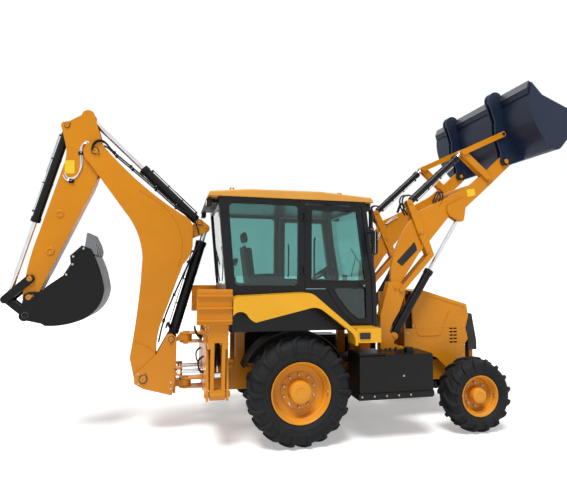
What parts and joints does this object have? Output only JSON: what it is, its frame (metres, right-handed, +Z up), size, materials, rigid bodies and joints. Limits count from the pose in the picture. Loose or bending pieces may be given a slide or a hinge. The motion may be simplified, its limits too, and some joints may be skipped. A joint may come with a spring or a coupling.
{
  "type": "backhoe loader",
  "caption": "Backhoe loader with a glazed cab, sloped hood, raised front loader bucket on parallel arms, folded rear digging arm, swing post, stabilizer legs and lugged tyres.",
  "frame": {"origin": "on the ground under the middle of the whole machine, between the tyres", "axes": "+X forward towards the loader bucket, +Y to the operator's left, +Z up"},
  "size_m": [7.6041, 2.3, 4.7401],
  "materials": {
    "body_yellow": "gloss",
    "rim_yellow": "satin",
    "black_paint": "satin",
    "cab_black": "satin",
    "bucket_navy": "satin",
    "engine_grey": "matte",
    "chrome": "polished",
    "tyre": "matte",
    "glass": "clear",
    "seat_cloth": "woven",
    "black_plastic": "matte"
  },
  "bodies": {
    "chassis": {"axles": "black_paint", "main_frame": "body_yellow", "rear_frame": "body_yellow", "engine": "engine_grey", "cowl": "body_yellow", "side_tanks": "black_paint", "fenders": "body_yellow", "cab_frame": "cab_black", "cab_glass": "glass", "cab_roof": "body_yellow", "seat": "seat_cloth", "controls": "black_plastic", "exhaust": "black_paint", "cab_fittings": "black_plastic"},
    "hood": {"hood": "body_yellow", "grille": "black_plastic"},
    "door_right": {"door_right": "cab_black", "door_glass_right": "glass"},
    "door_left": {"door_left": "cab_black", "door_glass_left": "glass"},
    "knuckle_right": {"knuckle_right": "black_paint"},
    "knuckle_left": {"knuckle_left": "black_paint"},
    "wheel_front_right": {"wheel_front_right": "rim_yellow", "tyre_front_right": "tyre"},
    "wheel_front_left": {"wheel_front_left": "rim_yellow", "tyre_front_left": "tyre"},
    "wheel_rear_right": {"wheel_rear_right": "rim_yellow", "tyre_rear_right": "tyre"},
    "wheel_rear_left": {"wheel_rear_left": "rim_yellow", "tyre_rear_left": "tyre"},
    "loader_arms": {"loader_arms": "body_yellow", "mid_levers": "body_yellow"},
    "level_links": {"level_links": "body_yellow"},
    "lift_barrels": {"lift_barrels": "black_paint"},
    "lift_rods": {"lift_rods": "chrome"},
    "front_levers": {"front_levers": "body_yellow"},
    "bucket_links": {"bucket_links": "body_yellow"},
    "tilt_barrels": {"tilt_barrels": "black_paint"},
    "tilt_rods": {"tilt_rods": "chrome"},
    "loader_bucket": {"loader_bucket": "bucket_navy"},
    "swing_post": {"swing_post": "body_yellow"},
    "swing_rod_right": {"swing_rod_right": "chrome"},
    "swing_rod_left": {"swing_rod_left": "chrome"},
    "boom": {"boom": "body_yellow"},
    "boom_barrel": {"boom_barrel": "black_paint"},
    "boom_rod": {"boom_rod": "chrome"},
    "dipper": {"dipper": "body_yellow"},
    "dipper_barrel": {"dipper_barrel": "black_paint"},
    "dipper_rod": {"dipper_rod": "chrome"},
    "bucket_barrel": {"bucket_barrel": "black_paint"},
    "bucket_rod": {"bucket_rod": "chrome"},
    "tipping_levers": {"tipping_levers": "black_paint"},
    "tipping_links": {"tipping_links": "black_paint"},
    "backhoe_bucket": {"backhoe_bucket": "bucket_navy"},
    "stabilizer_right": {"stabilizer_right": "body_yellow"},
    "stabilizer_left": {"stabilizer_left": "body_yellow"},
    "stabilizer_barrel_right": {"stabilizer_barrel_right": "black_paint"},
    "stabilizer_barrel_left": {"stabilizer_barrel_left": "black_paint"},
    "stabilizer_rod_right": {"stabilizer_rod_right": "chrome"},
    "stabilizer_rod_left": {"stabilizer_rod_left": "chrome"}
  },
  "joints": [
    {"name": "hood_tilt", "type": "hinge", "parent": "chassis", "child": "hood", "pos_m": [1.48, 0, 1.785], "axis": [0, -1, 0], "range_deg": [0, 45]},
    {"name": "door_right_swing", "type": "hinge", "parent": "chassis", "child": "door_right", "pos_m": [-0.156, -0.776, 2.4], "axis": [0, 0, -1], "range_deg": [0, 75]},
    {"name": "door_left_swing", "type": "hinge", "parent": "chassis", "child": "door_left", "pos_m": [-0.156, 0.776, 2.4], "axis": [0, 0, 1], "range_deg": [0, 75]},
    {"name": "steer_right", "type": "hinge", "parent": "chassis", "child": "knuckle_right", "pos_m": [2.153, -0.6, 0.48], "axis": [0, 0, 1], "range_deg": [-26, 26]},
    {"name": "steer_left", "type": "hinge", "parent": "chassis", "child": "knuckle_left", "pos_m": [2.153, 0.6, 0.48], "axis": [0, 0, 1], "range_deg": [-26, 26]},
    {"name": "front_right_spin", "type": "hinge", "parent": "knuckle_right", "child": "wheel_front_right", "pos_m": [2.153, -0.846, 0.48], "axis": [0, 1, 0], "continuous": true},
    {"name": "front_left_spin", "type": "hinge", "parent": "knuckle_left", "child": "wheel_front_left", "pos_m": [2.153, 0.846, 0.48], "axis": [0, 1, 0], "continuous": true},
    {"name": "rear_right_spin", "type": "hinge", "parent": "chassis", "child": "wheel_rear_right", "pos_m": [-0.26, -0.86, 0.646], "axis": [0, 1, 0], "continuous": true},
    {"name": "rear_left_spin", "type": "hinge", "parent": "chassis", "child": "wheel_rear_left", "pos_m": [-0.26, 0.86, 0.646], "axis": [0, 1, 0], "continuous": true},
    {"name": "lift", "type": "hinge", "parent": "chassis", "child": "loader_arms", "pos_m": [1.163, 0, 1.874], "axis": [0, 1, 0], "range_deg": [0, 83]},
    {"name": "level_link_turn", "type": "hinge", "parent": "chassis", "child": "level_links", "pos_m": [1.25, 0, 1.835], "axis": [0, 1, 0], "range_deg": [0, 94]},
    {"name": "lift_barrel_turn", "type": "hinge", "parent": "chassis", "child": "lift_barrels", "pos_m": [1.144, 0, 1.221], "axis": [0, 1, 0], "range_deg": [0, 70.5]},
    {"name": "lift_rod_slide", "type": "slide", "parent": "lift_barrels", "child": "lift_rods", "axis": [0.5343, 0, 0.8453], "range_m": [-0.7935, 0]},
    {"name": "bucket_tilt", "type": "hinge", "parent": "loader_arms", "child": "loader_bucket", "pos_m": [2.958, 0, 3.719], "axis": [0, -1, 0], "range_deg": [-95, 0]},
    {"name": "front_lever_turn", "type": "hinge", "parent": "loader_arms", "child": "front_levers", "pos_m": [2.676, 0, 3.446], "axis": [0, -1, 0], "range_deg": [-51, 0]},
    {"name": "bucket_link_turn", "type": "hinge", "parent": "loader_bucket", "child": "bucket_links", "pos_m": [2.904, 0, 4.113], "axis": [0, -1, 0], "range_deg": [0, 49]},
    {"name": "tilt_barrel_turn", "type": "hinge", "parent": "loader_arms", "child": "tilt_barrels", "pos_m": [1.398, 0, 3.039], "axis": [0, -1, 0], "range_deg": [-5.5, 0]},
    {"name": "tilt_rod_slide", "type": "slide", "parent": "tilt_barrels", "child": "tilt_rods", "axis": [0.7433, 0, 0.669], "range_m": [0, 0.4635]},
    {"name": "swing", "type": "hinge", "parent": "chassis", "child": "swing_post", "pos_m": [-1.58, 0, 0.9], "axis": [0, 0, 1], "range_deg": [-78, 78]},
    {"name": "swing_rod_right_slide", "type": "slide", "parent": "chassis", "child": "swing_rod_right", "axis": [1, 0, 0], "range_m": [-0.246, 0.246]},
    {"name": "swing_rod_left_slide", "type": "slide", "parent": "chassis", "child": "swing_rod_left", "axis": [1, 0, 0], "range_m": [-0.246, 0.246]},
    {"name": "boom_tilt", "type": "hinge", "parent": "swing_post", "child": "boom", "pos_m": [-2.104, 0, 0.698], "axis": [0, -1, 0], "range_deg": [0, 105]},
    {"name": "boom_barrel_turn", "type": "hinge", "parent": "swing_post", "child": "boom_barrel", "pos_m": [-1.765, 0, 1.193], "axis": [0, -1, 0], "range_deg": [0, 112.6]},
    {"name": "boom_rod_slide", "type": "slide", "parent": "boom_barrel", "child": "boom_rod", "axis": [0.2729, 0, 0.962], "range_m": [0, 0.922]},
    {"name": "dipper_tilt", "type": "hinge", "parent": "boom", "child": "dipper", "pos_m": [-2.779, 0, 3.605], "axis": [0, 1, 0], "range_deg": [0, 100]},
    {"name": "dipper_barrel_turn", "type": "hinge", "parent": "boom", "child": "dipper_barrel", "pos_m": [-1.432, 0, 2.724], "axis": [0, 1, 0], "range_deg": [0, 3.4]},
    {"name": "dipper_rod_slide", "type": "slide", "parent": "dipper_barrel", "child": "dipper_rod", "axis": [-0.7316, 0, 0.6817], "range_m": [-0.737, 0]},
    {"name": "hoe_bucket_tilt", "type": "hinge", "parent": "dipper", "child": "backhoe_bucket", "pos_m": [-3.475, 0, 1.735], "axis": [0, 1, 0], "range_deg": [0, 130]},
    {"name": "tipping_lever_turn", "type": "hinge", "parent": "dipper", "child": "tipping_levers", "pos_m": [-3.475, 0, 1.96], "axis": [0, 1, 0], "range_deg": [0, 75]},
    {"name": "tipping_link_turn", "type": "hinge", "parent": "backhoe_bucket", "child": "tipping_links", "pos_m": [-3.51, 0, 1.518], "axis": [0, 1, 0], "range_deg": [-114, 0]},
    {"name": "bucket_barrel_turn", "type": "hinge", "parent": "dipper", "child": "bucket_barrel", "pos_m": [-3.129, 0, 3.918], "axis": [0, 1, 0], "range_deg": [0, 5]},
    {"name": "bucket_rod_slide", "type": "slide", "parent": "bucket_barrel", "child": "bucket_rod", "axis": [-0.2671, 0, -0.9637], "range_m": [-0.4065, 0]},
    {"name": "stabilizer_right_turn", "type": "hinge", "parent": "chassis", "child": "stabilizer_right", "pos_m": [-1.238, -0.93, 0.665], "axis": [1, 0, 0], "range_deg": [0, 120]},
    {"name": "stabilizer_barrel_right_turn", "type": "hinge", "parent": "chassis", "child": "stabilizer_barrel_right", "pos_m": [-1.238, -0.6, 1.4], "axis": [1, 0, 0], "range_deg": [-1.3, 0]},
    {"name": "stabilizer_rod_right_slide", "type": "slide", "parent": "stabilizer_barrel_right", "child": "stabilizer_rod_right", "axis": [0, -0.5145, -0.8575], "range_m": [0, 0.366]},
    {"name": "stabilizer_left_turn", "type": "hinge", "parent": "chassis", "child": "stabilizer_left", "pos_m": [-1.238, 0.93, 0.665], "axis": [-1, 0, 0], "range_deg": [0, 120]},
    {"name": "stabilizer_barrel_left_turn", "type": "hinge", "parent": "chassis", "child": "stabilizer_barrel_left", "pos_m": [-1.238, 0.6, 1.4], "axis": [-1, 0, 0], "range_deg": [-1.3, 0]},
    {"name": "stabilizer_rod_left_slide", "type": "slide", "parent": "stabilizer_barrel_left", "child": "stabilizer_rod_left", "axis": [0, 0.5145, -0.8575], "range_m": [0, 0.366]}
  ],
  "couplings": [
    {"joint": "steer_left", "follows": "steer_right", "ratio": 1},
    {"joint": "level_link_turn", "follows": "lift", "ratio": 1.1235},
    {"joint": "lift_barrel_turn", "follows": "lift", "ratio": 0.8385},
    {"joint": "lift_rod_slide", "follows": "lift", "m_per_rad": -0.5473},
    {"joint": "front_lever_turn", "follows": "bucket_tilt", "ratio": 0.532},
    {"joint": "bucket_link_turn", "follows": "bucket_tilt", "ratio": -0.5084},
    {"joint": "tilt_barrel_turn", "follows": "bucket_tilt", "ratio": 0.0529},
    {"joint": "tilt_rod_slide", "follows": "bucket_tilt", "m_per_rad": -0.2783},
    {"joint": "swing_rod_right_slide", "follows": "swing", "m_per_rad": 0.18},
    {"joint": "swing_rod_left_slide", "follows": "swing", "m_per_rad": -0.18},
    {"joint": "boom_barrel_turn", "follows": "boom_tilt", "ratio": 1.0694},
    {"joint": "boom_rod_slide", "follows": "boom_tilt", "m_per_rad": 0.5021},
    {"joint": "dipper_barrel_turn", "follows": "dipper_tilt", "ratio": 0.0327},
    {"joint": "dipper_rod_slide", "follows": "dipper_tilt", "m_per_rad": -0.4213},
    {"joint": "tipping_lever_turn", "follows": "hoe_bucket_tilt", "ratio": 0.5745},
    {"joint": "tipping_link_turn", "follows": "hoe_bucket_tilt", "ratio": -0.8743},
    {"joint": "bucket_barrel_turn", "follows": "hoe_bucket_tilt", "ratio": 0.0378},
    {"joint": "bucket_rod_slide", "follows": "hoe_bucket_tilt", "m_per_rad": -0.1787},
    {"joint": "stabilizer_barrel_right_turn", "follows": "stabilizer_right_turn", "ratio": -0.0097},
    {"joint": "stabilizer_rod_right_slide", "follows": "stabilizer_right_turn", "m_per_rad": 0.1739},
    {"joint": "stabilizer_barrel_left_turn", "follows": "stabilizer_left_turn", "ratio": -0.0097},
    {"joint": "stabilizer_rod_left_slide", "follows": "stabilizer_left_turn", "m_per_rad": 0.1739}
  ]
}
